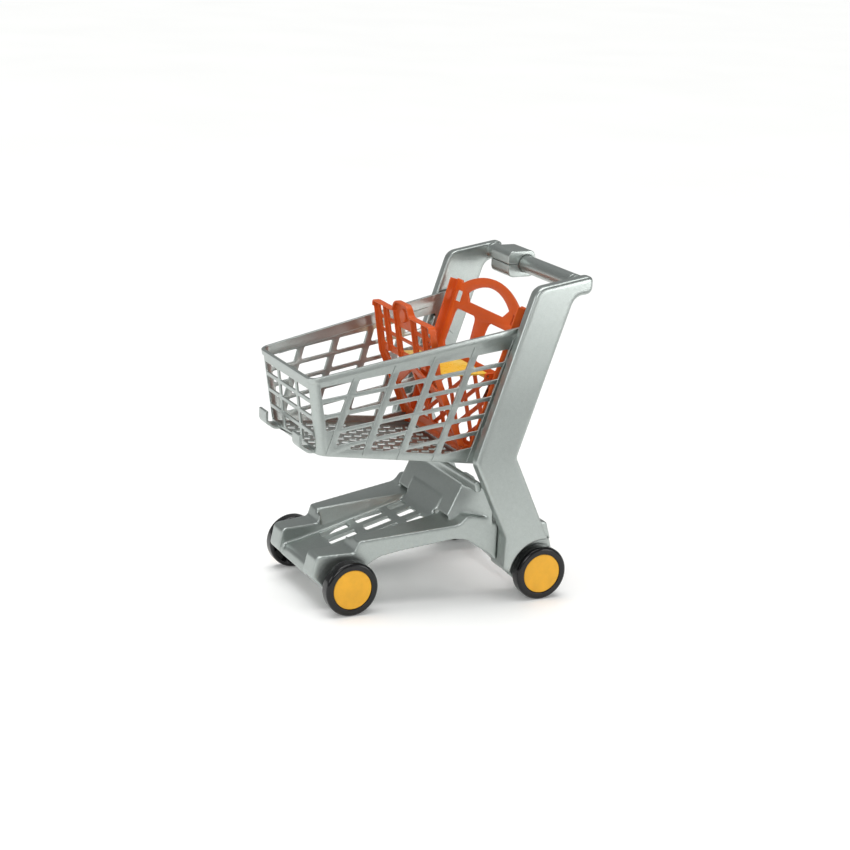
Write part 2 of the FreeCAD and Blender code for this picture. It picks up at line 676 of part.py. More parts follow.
def make_seat_gate():
    """Rear panel of the child seat: arched grip, two leg holes, diagonal lattice, side flanges."""
    body = new_body("seat_gate")
    foot = size("gate_foot_half")
    top = size("gate_top_half")
    arch = [Part.Arc(Vector(92, 241, 0), Vector(0, 264, 0), Vector(-92, 241, 0))]
    corners = [(-92, 241), (-98, 239), (-103, 243), (-top, 243), (-foot, -15), (foot, -15), (top, 243),
               (103, 243), (98, 239), (92, 241)]
    for start, end in zip(corners[:-1], corners[1:]):
        arch.append(Part.LineSegment(Vector(*start, 0), Vector(*end, 0)))
    add_pad(body, "panel", gate_sketch(body, "outline", [arch]), "sizes.gate_thickness", Reversed=True)
    thick = size("flange_thickness")
    flanges = [window([(side * (foot - thick), -15), (side * foot, -15), (side * top, 241),
                       (side * (top - thick), 241)], 0) for side in SIDES]
    add_pad(body, "flanges", gate_sketch(body, "flange_sketch", flanges), "sizes.flange_depth")
    grip = [Part.Arc(Vector(72, 227, 0), Vector(0, 249, 0), Vector(-72, 227, 0)),
            Part.LineSegment(Vector(-72, 227, 0), Vector(-58, 214, 0)),
            Part.LineSegment(Vector(-58, 214, 0), Vector(58, 214, 0)),
            Part.LineSegment(Vector(58, 214, 0), Vector(72, 227, 0))]
    loops = [grip]
    for side in SIDES:
        loops.append(window([(side * 87, 207), (side * 107, 207), (side * 107, 225), (side * 88, 225)], 2))
        loops.append(window([(side * 22, 196), (side * 94, 196), (side * 98, 130), (side * 13, 130)], 10))
    for cell in diamond_cells(8, 112, 98, 34, 7, 42):
        loops.append(window(cell, 2))
    add_cut(body, "openings", gate_sketch(body, "opening_sketch", loops, "5"), "14")
    hinge = (size("back_hinge_x"), size("back_hinge_height"))
    plate = (size("plate_hinge_x"), size("plate_hinge_height"))
    lug = rounded([(plate[0] + 5, plate[1] - 5, 4.9), (plate[0] + 5, plate[1] + 5, 4.9),
                   (gate_point(121, -2)[0], plate[1] + 5, 0), (gate_point(112, -2)[0], plate[1] - 5, 0)])
    for side in SIDES:
        slab(body, "lug_" + SIDES[side], [lug], side, "sizes.plate_half_width + 1.5", "5")
    bore = size("hinge_rod_radius") + size("hinge_fit")
    through_cut(body, "rod_holes", [circle(*hinge, bore), circle(*plate, bore)])
    return body


def back_x(z):
    """X of the seat back's rear face."""
    bend_x, bend_z = -2.0, 371.0
    if z > bend_z:
        return bend_x + 0.172 * (z - bend_z)
    return bend_x - 0.425 * (bend_z - z)


def back_band(low, high, near, far):
    """Side outline of a strip up the back between two distances forward of its rear face."""
    bend = 371
    return rounded([(back_x(low) + near, low, 0), (back_x(bend) + near, bend, 25),
                    (back_x(high) + near, high, 0), (back_x(high) + far, high, 0),
                    (back_x(bend) + far + 0.3, bend - 0.7, 25), (back_x(low) + far, low, 0)])


def back_top(inset):
    """Top outline of the back from its left shoulder over the middle lobe, moved in by inset."""
    half = size("back_half_width") - inset
    shoulder = 458 - inset
    lobe_top = 474 - inset
    return [(half, shoulder, 8), (33 - inset, shoulder - 1, 9), (24 - inset, lobe_top, 14),
            (-24 + inset, lobe_top, 14), (-33 + inset, shoulder - 1, 9), (-half, shoulder, 8)]


def make_seat_back():
    """Folding backrest: bent panel with a raised rim, ribs, a lobe with a boss and a hinge barrel."""
    body = new_body("seat_back")
    thick = size("back_thickness")
    half = size("back_half_width")
    hinge = (size("back_hinge_x"), size("back_hinge_height"))
    across_pad(body, "panel", [back_band(250, 477, 0, thick)], "sizes.back_half_width")
    trim = [(half + 5, 440, 0), (half, 440, 0)] + back_top(0)
    trim += [(-half, 440, 0), (-half - 5, 440, 0), (-half - 5, 485, 0), (half + 5, 485, 0)]
    openings = []
    for low_z, high_z in ((386, 405), (411, 428), (434, 450)):
        for low_y, high_y in ((-99, -74), (-67, -34), (-28, 28), (34, 67), (74, 99)):
            if high_z < 440 or low_y != -28:
                openings.append(window([(low_y, low_z), (high_y, low_z), (high_y, high_z),
                                        (low_y, high_z)], 3))
    for side in SIDES:
        openings.append(window([(side * 6, 374), (side * 92, 374), (side * 88, 340)], 3))
        openings.append(window([(side * 84, 318), (side * 4, 360), (side * 4, 272), (side * 78, 272)], 3))
    through_cut(body, "trims", [rounded(trim)], role="YZ_Plane")
    through_cut(body, "openings", openings, role="YZ_Plane")
    rim = thick + size("back_rim_depth")
    for side in SIDES:
        slab(body, "flange_" + SIDES[side], [back_band(258, 449, thick - 0.5, rim)], side,
             "sizes.back_half_width - sizes.flange_thickness", "sizes.flange_thickness")
    depth = thick + size("back_rib_depth")
    rib = rounded([(back_x(376) + thick - 0.5, 376, 0), (back_x(454) + thick - 0.5, 454, 0),
                   (back_x(454) + depth, 454, 0), (back_x(376) + depth, 376, 1)])
    for middle in (-70.5, -31, 31, 70.5):
        side = 1 if middle > 0 else -1
        slab(body, "rib_%d" % (middle + 100), [rib], side,
             "%s - sizes.back_rib_thickness / 2" % abs(middle), "sizes.back_rib_thickness")
    start = back_x(449) + thick - 1
    ring_loop = [(half, 447, 0)] + back_top(0) + [(-half, 447, 0)]
    ring_loop += [(-half + 3, 447, 0)] + back_top(3)[::-1] + [(half - 3, 447, 0)]
    sketch = add_sketch(body, "rim_sketch", "YZ_Plane", [rounded(ring_loop)], offset=(0, 0, start))
    add_pad(body, "rim", sketch, "sizes.back_rim_depth + 4")
    boss = [circle(0, 452, size("back_boss_radius"))]
    sketch = add_sketch(body, "boss_sketch", "YZ_Plane", boss, offset=(0, 0, start))
    add_pad(body, "boss", sketch, "sizes.back_rib_depth")
    across_pad(body, "barrel", [circle(*hinge, size("back_barrel_radius"))], "sizes.back_half_width")
    through_cut(body, "bore", [circle(*hinge, size("hinge_rod_radius") + size("hinge_fit"))])
    return body


def make_seat_plate():
    """Flap that the doll or child sits on, with its hinge barrel at the gate."""
    body = new_body("seat_plate")
    x, z = size("plate_hinge_x"), size("plate_hinge_height")
    end = x + size("plate_depth")
    thick = size("plate_thickness")
    plate = rounded([(x, z + 1.2, 0), (end, z + 3, 1), (end, z + 3 + thick, 1), (x, z + 1.2 + thick, 0)])
    across_pad(body, "flap", [plate], "sizes.plate_half_width")
    across_pad(body, "barrel", [circle(x, z, size("plate_barrel_radius"))], "sizes.plate_half_width")
    through_cut(body, "bore", [circle(x, z, size("hinge_rod_radius") + size("hinge_fit"))])
    return body


def make_rod(name, x, z, radius, half_length):
    """Plain round rod across the cart."""
    body = new_body(name)
    sketch = add_sketch(body, "section", "XZ_Plane", [circle(0, 0, size(radius))])
    add_pad(body, "rod", sketch, "2 * (%s)" % half_length, Midplane=True)
    body.setExpression("Placement.Base.x", x)
    body.setExpression("Placement.Base.z", z)
    document.recompute()
    return body


# ------------------------------------------------------------------ wheels
def wheel_spots():
    """Every wheel: name, x alias, outer face alias and side."""
    for axle in ("front", "rear"):
        for side in SIDES:
            yield axle + "_" + SIDES[side], axle + "_wheel_x", axle + "_wheel_outer", side


def place_on_axle(body, x_alias, outer_alias, side):
    """Move a piece made about the Y axis, outer face at y = 0, to its wheel."""
    turn = 0 if side > 0 else 180
    body.Placement = FreeCAD.Placement(Vector(0, 0, 0), FreeCAD.Rotation(Vector(0, 0, 1), turn))
    body.setExpression("Placement.Base.x", "sizes." + x_alias)
    body.setExpression("Placement.Base.y", "%d * sizes.%s" % (side, outer_alias))
    body.setExpression("Placement.Base.z", "sizes.wheel_radius")


def tab_loops(extra):
    """Four short snap tabs round the cap, grown by extra."""
    loops = []
    ring = size("tab_ring")
    across = size("tab_width") / 2 + extra
    deep = size("tab_depth") / 2 + extra
    for quarter in range(4):
        angle = math.radians(45 + 90 * quarter)
        out = Vector(math.cos(angle), math.sin(angle), 0)
        side = Vector(-out.y, out.x, 0)
        corners = [out * (ring + i * deep) + side * (j * across) for i, j in
                   ((-1, -1), (1, -1), (1, 1), (-1, 1))]
        loops.append(rounded([(c.x, c.y, 0) for c in corners]))
    return loops


def make_wheel(name):
    """Moulded wheel: rounded tread, dished face for the cap, ribless web and hub."""
    body = new_body("wheel_" + name)
    radius = size("wheel_radius")
    width = size("wheel_width")
    shoulder = size("wheel_shoulder")
    bore = size("axle_radius") + size("wheel_fit")
    web = size("web_depth")
    back = web + size("web_thickness")
    rim = radius - size("tread_thickness")
    seat = size("cap_radius") + 0.5
    pocket = seat - 6
    recess = size("cap_recess")
    outline = rounded([
        (bore, -web, 0), (pocket, -web, 0), (pocket, -recess, 0), (seat, -recess, 0), (seat, 0, 0),
        (radius, 0, shoulder), (radius, -width, shoulder), (rim, -width, 0), (rim, -back, 0),
        (size("hub_radius"), -back, 0), (size("hub_radius"), -width, 0), (bore, -width, 0)])
    sketch = add_sketch(body, "section", "XY_Plane", [outline])
    axis = [f for f in body.Origin.OriginFeatures if f.Role == "Y_Axis"][0]
    turned = body.newObject("PartDesign::Revolution", body.Label + "_turned")
    turned.Profile = sketch
    turned.ReferenceAxis = (axis, [""])
    turned.Angle = 360
    document.recompute()
    sketch = add_sketch(body, "tab_windows", "XZ_Plane", tab_loops(0.6))
    add_cut(body, "windows", sketch, "sizes.wheel_width", Midplane=True)
    return body


def make_cap(name):
    """Yellow snap-in cap with four tabs through the wheel's web."""
    body = new_body("hub_cap_" + name)
    disc = add_sketch(body, "disc_sketch", "XZ_Plane", [circle(0, 0, size("cap_radius"))])
    bind_offset(disc, "sizes.cap_recess")
    add_pad(body, "disc", disc, "sizes.cap_thickness", Reversed=True)
    tabs = add_sketch(body, "tab_sketch", "XZ_Plane", tab_loops(0))
    bind_offset(tabs, "sizes.cap_recess")
    add_pad(body, "tabs", tabs, "sizes.web_depth + sizes.web_thickness + 1 - sizes.cap_recess")
    return body


def make_wheels():
    """Four wheels and their caps."""
    for name, x_alias, outer_alias, side in wheel_spots():
        for piece in (make_wheel(name), make_cap(name)):
            place_on_axle(piece, x_alias, outer_alias, side)
    document.recompute()


# ------------------------------------------------------------------ groups of small hardware
def group(label, shapes):
    """One node holding several identical loose solids."""
    feature = document.addObject("Part::Feature", label)
    feature.Label = label
    feature.Shape = Part.makeCompound(shapes)
    return feature


def ring(x, start, length, side, outer, inner):
    """Flat ring on an axle: start is measured outward along |y|."""
    base = Vector(x, side * start, size("wheel_radius"))
    way = Vector(0, side, 0)
    return Part.makeCylinder(outer, length, base, way).cut(Part.makeCylinder(inner, length, base, way))


def screw(base, way, length):
    """Pan-head screw: base is under the head and way points along the shank."""
    radius = size("screw_radius")
    head_height = size("screw_head_height")
    shank = Part.makeCylinder(radius, length, base, way)
    head = Part.makeCylinder(size("screw_head_radius"), head_height, base - way * head_height, way)
    crown = [edge for edge in head.Edges if edge.Closed
             and abs((edge.CenterOfMass - base).dot(way) + head_height) < 1e-6]
    return head.makeFillet(head_height * 0.6, crown).fuse(shank).removeSplitter()


def make_hardware():
    """Washers, push nuts and the three sets of screws."""
    washers = []
    nuts = []
    bore = size("axle_radius") + 0.05
    for _, x_alias, outer_alias, side in wheel_spots():
        x = size(x_alias)
        outer = size(outer_alias)
        inner_face = outer - size("wheel_width")
        thick = size("washer_thickness")
        washers.append(ring(x, inner_face - thick - 0.05, thick, side, size("washer_radius"), bore))
        nuts.append(ring(x, outer - size("web_depth") + 0.15, size("push_nut_thickness"), side,
                         size("push_nut_radius"), bore))
    group("axle_washers", washers)
    group("axle_push_nuts", nuts)
    basket = []
    tray = []
    for side in SIDES:
        way = Vector(0, side, 0)
        for x, z, _ in BASKET_SCREWS:
            inside = wall_y(x, z) - size("basket_wall") - 0.8
            length = size("frame_outer") - size("frame_thickness") + 11 - inside
            basket.append(screw(Vector(x, side * inside, z), way, length))
        for x, z in TRAY_SCREWS:
            tray.append(screw(Vector(x, side * 91.95, z), way, 33))
    group("basket_screws", basket)
    group("tray_screws", tray)
    base_z = size("handle_height") - size("sleeve_height") / 2 + size("screw_head_height") + 1
    group("sleeve_screws", [screw(Vector(x, y, base_z - 0.05), Vector(0, 0, 1), 28) for x, y in SLEEVE_SCREWS])


# ------------------------------------------------------------------ assemble, check and write
def check_and_write():
    """Stop on any failed object or shape, then write every node."""
    for item in document.Objects:
        bad = [flag for flag in item.State if flag in ("Invalid", "Error")]
        if bad:
            raise RuntimeError("%s is %s" % (item.Name, bad))
    os.makedirs("parts", exist_ok=True)
    for item in document.Objects:
        if item.TypeId not in ("PartDesign::Body", "Part::Feature"):
            continue
        shape = item.Shape
        if shape.isNull() or not shape.isValid() or not shape.Solids:
            raise RuntimeError("bad shape: " + item.Label)
        shape.exportStep("parts/%s.step" % item.Label)
        box = shape.BoundBox
        print("%-24s solids %d volume %9.0f x %7.1f..%7.1f y %7.1f..%7.1f z %6.1f..%6.1f" % (
            item.Label, len(shape.Solids), shape.Volume, box.XMin, box.XMax, box.YMin, box.YMax,
            box.ZMin, box.ZMax))


for frame_side in SIDES:
    make_side_frame(frame_side)
make_handle_bar()
make_sleeve("handle_sleeve_upper", 1)
make_sleeve("handle_sleeve_lower", -1)
make_basket()
make_lower_tray()
make_seat_gate()
make_seat_back()
make_seat_plate()
make_rod("seat_back_rod", "sizes.back_hinge_x", "sizes.back_hinge_height", "hinge_rod_radius",
         "sizes.gate_foot_half - 0.5")
make_rod("seat_plate_rod", "sizes.plate_hinge_x", "sizes.plate_hinge_height", "hinge_rod_radius",
         "sizes.plate_half_width + 6.5")
make_rod("front_axle", "sizes.front_wheel_x", "sizes.wheel_radius", "axle_radius",
         "sizes.front_wheel_outer - sizes.cap_recess - sizes.cap_thickness - 0.5")
make_rod("rear_axle", "sizes.rear_wheel_x", "sizes.wheel_radius", "axle_radius",
         "sizes.rear_wheel_outer - sizes.cap_recess - sizes.cap_thickness - 0.5")
make_wheels()
make_hardware()
document.recompute()
check_and_write()
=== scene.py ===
"""Looks of a toy shopping cart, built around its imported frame: moulded shells, wheels, seat and stage."""

import json
import math

import bmesh
import bpy
from bpy.props import FloatProperty, FloatVectorProperty, IntProperty
from mathutils import Matrix, Vector
from mathutils.bvhtree import BVHTree


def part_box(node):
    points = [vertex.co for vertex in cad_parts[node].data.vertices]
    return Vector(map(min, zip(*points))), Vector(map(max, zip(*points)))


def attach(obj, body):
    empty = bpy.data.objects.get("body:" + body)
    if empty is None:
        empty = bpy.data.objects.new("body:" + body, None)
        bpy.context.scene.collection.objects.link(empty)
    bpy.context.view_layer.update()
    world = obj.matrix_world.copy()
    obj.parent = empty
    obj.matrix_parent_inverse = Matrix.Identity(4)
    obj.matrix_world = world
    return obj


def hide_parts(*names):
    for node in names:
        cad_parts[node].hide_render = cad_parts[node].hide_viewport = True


bl_info = {
    "name": "Toy Shopping Cart Looks",
    "version": (1, 0, 0),
    "blender": (4, 5, 0),
    "location": "View3D > Sidebar > Cart",
    "description": "Builds the visible shells, wheels, seat and stage of a toy shopping cart",
    "category": "Object",
}

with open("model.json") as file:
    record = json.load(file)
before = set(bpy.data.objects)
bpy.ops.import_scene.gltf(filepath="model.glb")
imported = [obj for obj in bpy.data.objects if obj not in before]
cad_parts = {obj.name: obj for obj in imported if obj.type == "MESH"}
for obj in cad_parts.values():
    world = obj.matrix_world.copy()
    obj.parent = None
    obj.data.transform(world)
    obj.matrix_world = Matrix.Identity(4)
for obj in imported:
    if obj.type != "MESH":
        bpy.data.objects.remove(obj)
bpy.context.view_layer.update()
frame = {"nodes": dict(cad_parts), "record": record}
MM = 0.001
SIDES = {"left": 1, "right": -1}
WHEELS = ("front_left", "front_right", "rear_left", "rear_right")

# fine ribs and ledge of the basket
BAR_COUNT = 5
TRACE_STEPS = 40
TRACE_RISE = 6 * MM
RIB_BELOW_RIM = 11 * MM
RIB_SETBACK = 0.6 * MM
RIB_PROUD = 0.3 * MM
RIB_LEAST_Y = 0.07
LEDGE_RADIUS = 0.8 * MM
LEDGE_REAR = -92 * MM
LEDGE_STEP = 7.2 * MM
LEDGE_LEAST_Y = 0.1

# corners of the box round the tray's slots, which keeps their edges crisp
SLOT_ZONE = ((-22 * MM, -49 * MM, 70 * MM), (140 * MM, 49 * MM, 140 * MM))

# fine skin of the small soft pieces
FINE_VOXEL = 0.8 * MM
BLOCK_SOFTNESS = 12
BACK_SOFTNESS = 4

# handle tube: wall, end chamfer and the groove near each end
TUBE_WALL = 2.5 * MM
TUBE_CHAMFER = 0.6 * MM
GROOVE_INSET = 9 * MM
GROOVE_HALF = 1.2 * MM
GROOVE_DEPTH = 0.5 * MM

# wheels: radii from the axle, depths from the outer face
AXLE_BORE = 3.1 * MM
HUB_RADIUS = 9 * MM
HUB_ROUND = 1 * MM
WEB_FACE = 7.5 * MM
WEB_BACK = 11.5 * MM
TREAD_WALL = 6.5 * MM
SEAT_RADIUS = 33 * MM
SEAT_ROUND = 1.2 * MM
SEAT_DEPTH = 3 * MM
POCKET_RADIUS = 27 * MM
SPOKE_COUNT = 8
SPOKE_MIDDLE = 23.5 * MM
SPOKE_DEPTH = 15 * MM
SPOKE_SIZES = (31 * MM, 8 * MM, 1.6 * MM)

# wheel caps
CAP_RADIUS = 32.5 * MM
CAP_ROUND = 0.8 * MM
CAP_FLAT = 29.5 * MM
CAP_FACE = 1 * MM
TAB_COUNT = 4
TAB_MIDDLE = 20 * MM
TAB_DEPTH = 7.7 * MM
TAB_SIZES = (3 * MM, 9.6 * MM, 7 * MM)

# stage
FLOOR_RADIUS = 80
CAMERA_PLACE = (1.3502, 2.7071, 1.1408)
CAMERA_RIGHT = (-0.91440, 0.40329, 0.03511)
CAMERA_UP = (-0.08514, -0.27637, 0.95727)
CAMERA_LENS = 81.38
CAMERA_SHIFT = (0.1001, 0.0198)


# ------------------------------------------------------------------ settings
class CartSizes(bpy.types.PropertyGroup):
    """Sizes of what is added to the frame's own shapes."""
    lattice_edge: FloatProperty(
        name="Lattice edge", description="Rounding of the basket's and seat's edges",
        default=0.8 * MM, unit="LENGTH")
    shell_voxel: FloatProperty(
        name="Shell voxel", description="Grain of the tray's and side frames' soft shells",
        default=1.3 * MM, unit="LENGTH")
    tray_softness: IntProperty(
        name="Tray softness", description="Smoothing passes over the lower tray", default=24, min=0)
    frame_softness: IntProperty(
        name="Frame softness", description="Smoothing passes over the side frames", default=22, min=0)
    bar_pitch: FloatProperty(
        name="Bar pitch", description="Spacing of the basket's slanted side bars",
        default=62 * MM, unit="LENGTH")
    first_bar: FloatProperty(
        name="First bar", description="Front edge of the first side bar at the datum height",
        default=174 * MM, unit="LENGTH")
    bar_datum: FloatProperty(
        name="Bar datum", description="Height where the bars' spacing is measured",
        default=320 * MM, unit="LENGTH")
    bar_lean: FloatProperty(
        name="Bar lean", description="Run of a side bar per unit of height", default=-0.315)
    rim_height: FloatProperty(
        name="Rim height", description="Height of the basket's rim over the origin",
        default=432 * MM, unit="LENGTH")
    rim_slope: FloatProperty(
        name="Rim slope", description="Rise of the rim per unit forward", default=-0.197)
    ledge_drop: FloatProperty(
        name="Ledge drop", description="Depth of the fine inner ledge below the rim",
        default=18 * MM, unit="LENGTH")
    rib_radius: FloatProperty(
        name="Rib radius", description="Half width of the fine rib on each side bar",
        default=0.75 * MM, unit="LENGTH")
    tread_corner: FloatProperty(
        name="Tread corner", description="Rounding of the wheels' shoulders",
        default=5 * MM, unit="LENGTH")


class CartColours(bpy.types.PropertyGroup):
    """Base colours of the cart's plastics and metal."""
    silver: FloatVectorProperty(
        name="Silver", description="Silver-pigmented plastic", subtype="COLOR", size=3,
        default=(0.42, 0.456, 0.438), min=0, max=1)
    orange: FloatVectorProperty(
        name="Orange", description="Seat gate and backrest", subtype="COLOR", size=3,
        default=(0.60, 0.088, 0.009), min=0, max=1)
    seat_yellow: FloatVectorProperty(
        name="Seat yellow", description="Seat flap", subtype="COLOR", size=3,
        default=(0.90, 0.52, 0.03), min=0, max=1)
    cap_yellow: FloatVectorProperty(
        name="Cap yellow", description="Wheel caps", subtype="COLOR", size=3,
        default=(0.80, 0.395, 0.013), min=0, max=1)
    black: FloatVectorProperty(
        name="Black", description="Wheels", subtype="COLOR", size=3,
        default=(0.003, 0.003, 0.0035), min=0, max=1)
    steel: FloatVectorProperty(
        name="Steel", description="Axles, rods and fasteners", subtype="COLOR", size=3,
        default=(0.60, 0.60, 0.58), min=0, max=1)


# ------------------------------------------------------------------ shader expressions
class Signal:
    """A shader socket that can be used in Python arithmetic."""

    def __init__(self, graph, socket):
        self.graph = graph
        self.socket = socket

    def math(self, operation, other, swapped=False):
        first, second = (other, self) if swapped else (self, other)
        return self.graph.add("ShaderNodeMath", {"operation": operation}, {0: first, 1: second})

    def __add__(self, other):
        return self.math("ADD", other)

    def __radd__(self, other):
        return self.math("ADD", other, swapped=True)

    def __sub__(self, other):
        return self.math("SUBTRACT", other)

    def __rsub__(self, other):
        return self.math("SUBTRACT", other, swapped=True)

    def __mul__(self, other):
        return self.math("MULTIPLY", other)

    def __rmul__(self, other):
        return self.math("MULTIPLY", other, swapped=True)

    def clamp(self):
        return self.graph.add("ShaderNodeClamp", {}, {"Value": self})


class Graph:
    """Nodes of one material, made by a single method."""

    def __init__(self, name):
        self.material = bpy.data.materials.new(name)
        self.material.use_nodes = True
        self.nodes = self.material.node_tree.nodes
        self.links = self.material.node_tree.links
        self.surface = self.nodes["Principled BSDF"]

    def feed(self, socket, value):
        """Link a signal to a socket, or set its constant."""
        if isinstance(value, Signal):
            self.links.new(value.socket, socket)
        elif hasattr(socket.default_value, "__len__") and len(value) == 3 and len(socket.default_value) == 4:
            socket.default_value = (*value, 1)
        else:
            socket.default_value = value

    def add(self, kind, settings, inputs, output=0):
        """Any node: its settings first, then its sockets; returns one output as a signal."""
        node = self.nodes.new(kind)
        for key, value in settings.items():
            if key == "stops":
                ramp = node.color_ramp
                ramp.elements[0].position, ramp.elements[1].position = value[0][0], value[-1][0]
                for position, shade in value:
                    spot = [e for e in ramp.elements if abs(e.position - position) < 1e-6]
                    element = spot[0] if spot else ramp.elements.new(position)
                    element.color = (shade, shade, shade, 1)
            else:
                setattr(node, key, value)
        for key, value in inputs.items():
            self.feed(node.inputs[key], value)
        return Signal(self, node.outputs[output])

    def place(self, stretch=(1, 1, 1)):
        """Object coordinates in metres, stretched along the axes."""
        where = self.add("ShaderNodeTexCoord", {}, {}, "Object")
        return self.add("ShaderNodeMapping", {}, {"Vector": where, "Scale": stretch})

    def noise(self, scale, detail=2.0, rough=0.5, stretch=(1, 1, 1)):
        """Soft noise from 0 to 1; scale is in cycles per metre."""
        return self.add("ShaderNodeTexNoise", {}, {"Vector": self.place(stretch), "Scale": scale,
                                                   "Detail": detail, "Roughness": rough})

    def specks(self, scale):
        """A random value in every cell, for flakes of pigment."""
        return self.add("ShaderNodeTexVoronoi", {"feature": "F1"},
                        {"Vector": self.place(), "Scale": scale}, "Color")

    def ramp(self, value, stops):
        return self.add("ShaderNodeValToRGB", {"stops": stops}, {"Fac": value})

    def blend(self, share, first, second, mode="MIX"):
        """Mix two colours."""
        node = self.nodes.new("ShaderNodeMix")
        node.data_type = "RGBA"
        node.blend_type = mode
        self.feed(node.inputs["Factor"], share)
        self.feed(node.inputs[6], first)
        self.feed(node.inputs[7], second)
        return Signal(self, node.outputs[2])

    def edges(self, low, high):
        """Near 1 on convex edges, 0 on flats."""
        sharp = self.add("ShaderNodeNewGeometry", {}, {}, "Pointiness")
        return self.ramp(sharp, ((low, 0.0), (high, 1.0)))

    def bump(self, height, strength, distance):
        return self.add("ShaderNodeBump", {}, {"Height": height, "Strength": strength, "Distance": distance})

    def finish(self, **sockets):
        """Set the surface shader's sockets; underscores in names stand for spaces."""
        for key, value in sockets.items():
            self.feed(self.surface.inputs[key.replace("_", " ")], value)
        return self.material


def silver_skin():
    """Satin plastic with aluminium pigment: fine flakes, soft flow marks, rubbed edges."""
    g = Graph("silver_skin")
    colour = tuple(bpy.context.scene.cart_colours.silver)
    flake = g.add("ShaderNodeSeparateColor", {}, {"Color": g.specks(2600)}, "Red")
    flow = g.noise(9, 3, 0.6, (1, 0.5, 1.6))
    cloud = g.noise(160, 2)
    shade = g.ramp(flake * 0.5 + cloud * 0.3 + flow * 0.2, ((0.2, 0.84), (0.8, 1.1)))
    base = g.blend(1.0, colour, shade, "MULTIPLY")
    rubbed = g.edges(0.52, 0.62)
    base = g.blend(rubbed * 0.25, base, (0.52, 0.54, 0.53))
    rough = (0.27 + flow * 0.1 + flake * 0.06 - rubbed * 0.04).clamp()
    grain = g.bump(flake * 0.4 + g.noise(900, 2) * 0.6, 0.12, 0.0001)
    return g.finish(Base_Color=base, Roughness=rough, Metallic=0.9, Normal=grain,
                    Specular_IOR_Level=0.5)


def orange_skin():
    """Glossy dyed plastic with slight sink marks and paler worn edges."""
    g = Graph("orange_skin")
    colour = tuple(bpy.context.scene.cart_colours.orange)
    flow = g.noise(14, 3, 0.55, (1, 0.7, 2))
    tone = g.ramp(flow, ((0.3, 0.88), (0.7, 1.08)))
    base = g.blend(1.0, colour, tone, "MULTIPLY")
    rubbed = g.edges(0.52, 0.64)
    base = g.blend(rubbed * 0.22, base, (0.80, 0.17, 0.03))
    rough = (0.30 + g.noise(60, 2) * 0.14).clamp()
    sink = g.bump(g.noise(45, 2) * 0.7 + g.noise(1400, 2) * 0.3, 0.10, 0.0004)
    return g.finish(Base_Color=base, Roughness=rough, Normal=sink, Subsurface_Weight=0.06,
                    Subsurface_Scale=0.004, Specular_IOR_Level=0.35)


def yellow_seat():
    """Glossy yellow plastic, slightly wavy so that it catches long highlights."""
    g = Graph("yellow_seat")
    colour = tuple(bpy.context.scene.cart_colours.seat_yellow)
    flow = g.noise(20, 3, 0.5, (0.5, 1.4, 1))
    base = g.blend(g.ramp(flow, ((0.35, 0.0), (0.7, 1.0))), colour, (0.86, 0.60, 0.10))
    rough = (0.22 + g.noise(70, 2) * 0.12).clamp()
    waves = g.bump(g.noise(26, 2, 0.4, (0.4, 1.5, 1)), 0.35, 0.002)
    return g.finish(Base_Color=base, Roughness=rough, Normal=waves, Coat_Weight=0.3, Coat_Roughness=0.12)


def cap_skin():
    """Eggshell yellow plastic of the wheel caps, with fine moulding grain."""
    g = Graph("cap_skin")
    colour = tuple(bpy.context.scene.cart_colours.cap_yellow)
    tone = g.ramp(g.noise(40, 3, 0.6), ((0.3, 0.9), (0.75, 1.08)))
    base = g.blend(1.0, colour, tone, "MULTIPLY")
    base = g.blend(g.edges(0.52, 0.62) * 0.3, base, (0.9, 0.6, 0.12))
    rough = (0.42 + g.noise(220, 2) * 0.12).clamp()
    return g.finish(Base_Color=base, Roughness=rough, Normal=g.bump(g.noise(2200, 2), 0.1, 0.0001))


def black_wheel():
    """Hard glossy black plastic with faint swirl scratches and dust on the tread."""
    g = Graph("black_wheel")
    colour = tuple(bpy.context.scene.cart_colours.black)
    dust = g.ramp(g.noise(55, 4, 0.65), ((0.5, 0.0), (0.85, 1.0)))
    base = g.blend(dust * 0.03, colour, (0.12, 0.115, 0.11))
    scratch = g.noise(120, 3, 0.6, (1, 14, 1))
    rough = (0.16 + dust * 0.14 + scratch * 0.08).clamp()
    return g.finish(Base_Color=base, Roughness=rough, Normal=g.bump(scratch, 0.05, 0.0001),
                    Coat_Weight=0.15, Coat_Roughness=0.08, Specular_IOR_Level=0.35)


def zinc_skin():
    """Zinc-plated steel with drawing lines and a slight yellow cast."""
    g = Graph("zinc_skin")
    colour = tuple(bpy.context.scene.cart_colours.steel)
    lines = g.noise(700, 2, 0.5, (1, 0.03, 1))
    stain = g.noise(60, 3)
    base = g.blend(g.ramp(stain, ((0.35, 0.0), (0.75, 1.0))) * 0.4, colour, (0.50, 0.46, 0.36))
    rough = (0.22 + lines * 0.16 + stain * 0.08).clamp()
    return g.finish(Base_Color=base, Roughness=rough, Metallic=1.0, Normal=g.bump(lines, 0.15, 0.0001))


def studio_floor():
    """Pale matt floor with the faintest unevenness."""
    g = Graph("studio_floor")
    tone = g.ramp(g.noise(1.5, 3), ((0.3, 0.97), (0.7, 1.0)))
    base = g.blend(1.0, (0.93, 0.93, 0.92), tone, "MULTIPLY")
    return g.finish(Base_Color=base, Roughness=0.75, Specular_IOR_Level=0.2,
                    Emission_Color=(1.0, 1.0, 0.99), Emission_Strength=0.10)


def reflection_shade_grey():
    """Matt grey of the flag card: painted shade seen only in the silver's reflections."""
    g = Graph("reflection_shade_grey")
    base = g.blend(1.0, (0.05, 0.055, 0.055), g.ramp(g.noise(3, 2), ((0.3, 0.9), (0.7, 1.0))), "MULTIPLY")
    return g.finish(Base_Color=base, Roughness=0.9, Specular_IOR_Level=0.1)


